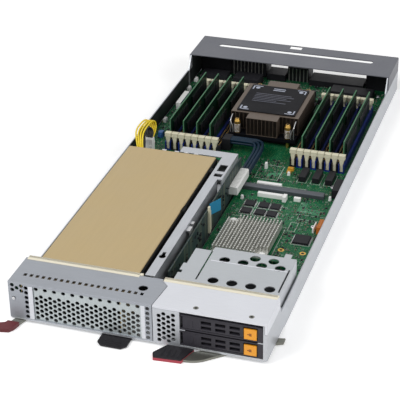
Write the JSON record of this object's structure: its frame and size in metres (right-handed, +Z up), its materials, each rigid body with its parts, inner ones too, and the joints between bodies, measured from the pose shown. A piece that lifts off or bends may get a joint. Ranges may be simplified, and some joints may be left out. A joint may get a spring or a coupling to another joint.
{
  "type": "blade server",
  "caption": "Flat blade server with its lid off: accelerator card and slide-out drives at the front, cooled processor between memory banks behind, swinging ejector levers below.",
  "frame": {"origin": "centre of the tray's bottom face, at half the blade's length and width", "axes": "+Z up, +X to the right seen from the front, +Y from the front face towards the rear connectors"},
  "size_m": [0.261, 0.6194, 0.0438],
  "materials": {
    "zinc_steel": "satin zinc plate",
    "bright_steel": "bright plated",
    "dark_paint": "satin dark grey paint",
    "gold_skin": "satin gold anodised",
    "gasket": "woven contact strip",
    "fin_metal": "plain milled",
    "cooler_metal": "dull brown-grey",
    "black_plate": "satin black",
    "green_board": "solder mask",
    "black_plastic": "moulded",
    "blue_plastic": "moulded",
    "cream_plastic": "moulded",
    "white_plastic": "moulded",
    "orange_plastic": "moulded",
    "charcoal_plastic": "moulded",
    "red_plastic": "moulded",
    "lever_steel": "plain steel",
    "drive_metal": "plain case",
    "yellow_brass": "plated",
    "yellow_wire": "wire jacket",
    "black_wire": "wire jacket",
    "blue_cable": "woven jacket",
    "blue_strap": "strap"
  },
  "bodies": {
    "chassis": {"base_tray": "zinc_steel", "rear_cover": "dark_paint", "card_cage": "zinc_steel", "card_panel": "zinc_steel", "card_gasket": "gasket", "drive_gasket": "gasket", "card_shroud": "gold_skin", "card_board": "green_board", "card_heatsink": "fin_metal", "riser_bracket": "zinc_steel", "riser_socket": "black_plastic", "riser_card": "green_board", "riser_plug": "white_plastic", "riser_cable": "blue_cable", "pull_tab": "blue_strap", "drive_cage": "zinc_steel", "drive_roof": "zinc_steel", "drive_cover": "bright_steel", "drive_backplane": "green_board", "lever_pivots": "zinc_steel", "switch_board": "green_board", "main_board": "green_board", "standoffs": "yellow_brass", "stiffener_bar": "zinc_steel", "processor_socket": "black_plastic", "processor": "drive_metal", "cooler_base": "cooler_metal", "cooler_fins": "cooler_metal", "cooler_plate": "black_plate", "cooler_screws": "yellow_brass", "empty_memory_sockets": "black_plastic", "filled_memory_sockets": "blue_plastic", "memory_modules": "green_board", "chipset_heatsink": "fin_metal", "push_pins": "white_plastic", "board_chips": "black_plastic", "board_inductors": "black_plastic", "board_connectors": "white_plastic", "midplane_connectors": "black_plastic", "lead_plug": "white_plastic", "yellow_wires": "yellow_wire", "black_wires": "black_wire"},
    "right_lever": {"right_lever_arm": "lever_steel", "right_lever_grip": "black_plastic"},
    "left_lever": {"left_lever_arm": "lever_steel", "left_lever_grip": "red_plastic"},
    "lower_carrier": {"lower_carrier": "charcoal_plastic", "lower_drive": "drive_metal"},
    "upper_carrier": {"upper_carrier": "charcoal_plastic", "upper_drive": "drive_metal"},
    "lower_handle": {"lower_handle": "charcoal_plastic"},
    "upper_handle": {"upper_handle": "charcoal_plastic"},
    "lower_button": {"lower_button": "orange_plastic"},
    "upper_button": {"upper_button": "orange_plastic"},
    "service_tab": {"service_tab": "black_plastic"},
    "power_button": {"power_button": "black_plastic"},
    "left_front_latches": {"left_front_latches": "cream_plastic"},
    "left_rear_latches": {"left_rear_latches": "cream_plastic"},
    "right_front_latches": {"right_front_latches": "cream_plastic"},
    "right_rear_latches": {"right_rear_latches": "cream_plastic"}
  },
  "joints": [
    {"name": "right_lever_swing", "type": "hinge", "parent": "chassis", "child": "right_lever", "pos_m": [0.108, -0.2745, 0.0016], "axis": [0, 0, 1], "range_deg": [0, 60]},
    {"name": "left_lever_swing", "type": "hinge", "parent": "chassis", "child": "left_lever", "pos_m": [-0.108, -0.2745, 0.0016], "axis": [0, 0, -1], "range_deg": [0, 50]},
    {"name": "lower_carrier_slide", "type": "slide", "parent": "chassis", "child": "lower_carrier", "axis": [0, -1, 0], "range_m": [0, 0.1]},
    {"name": "upper_carrier_slide", "type": "slide", "parent": "chassis", "child": "upper_carrier", "axis": [0, -1, 0], "range_m": [0, 0.1]},
    {"name": "lower_handle_swing", "type": "hinge", "parent": "lower_carrier", "child": "lower_handle", "pos_m": [0.04635, -0.2961, 0.0135], "axis": [0, 0, -1], "range_deg": [0, 60]},
    {"name": "upper_handle_swing", "type": "hinge", "parent": "upper_carrier", "child": "upper_handle", "pos_m": [0.04635, -0.2961, 0.0305], "axis": [0, 0, -1], "range_deg": [0, 60]},
    {"name": "lower_button_press", "type": "slide", "parent": "lower_carrier", "child": "lower_button", "axis": [0, 1, 0], "range_m": [0, 0.0015], "stiffness_N_per_m": 400},
    {"name": "upper_button_press", "type": "slide", "parent": "upper_carrier", "child": "upper_button", "axis": [0, 1, 0], "range_m": [0, 0.0015], "stiffness_N_per_m": 400},
    {"name": "service_tab_pull", "type": "slide", "parent": "chassis", "child": "service_tab", "axis": [0, -1, 0], "range_m": [0, 0.025]},
    {"name": "power_button_press", "type": "slide", "parent": "chassis", "child": "power_button", "axis": [0, 1, 0], "range_m": [0, 0.0008], "stiffness_N_per_m": 400},
    {"name": "left_front_latch_tip", "type": "hinge", "parent": "chassis", "child": "left_front_latches", "pos_m": [-0.075, 0.058, 0.011], "axis": [1, 0, 0], "range_deg": [0, 25]},
    {"name": "left_rear_latch_tip", "type": "hinge", "parent": "chassis", "child": "left_rear_latches", "pos_m": [-0.075, 0.206, 0.011], "axis": [-1, 0, 0], "range_deg": [0, 25]},
    {"name": "right_front_latch_tip", "type": "hinge", "parent": "chassis", "child": "right_front_latches", "pos_m": [0.085, 0.058, 0.011], "axis": [1, 0, 0], "range_deg": [0, 25]},
    {"name": "right_rear_latch_tip", "type": "hinge", "parent": "chassis", "child": "right_rear_latches", "pos_m": [0.085, 0.206, 0.011], "axis": [-1, 0, 0], "range_deg": [0, 25]}
  ]
}
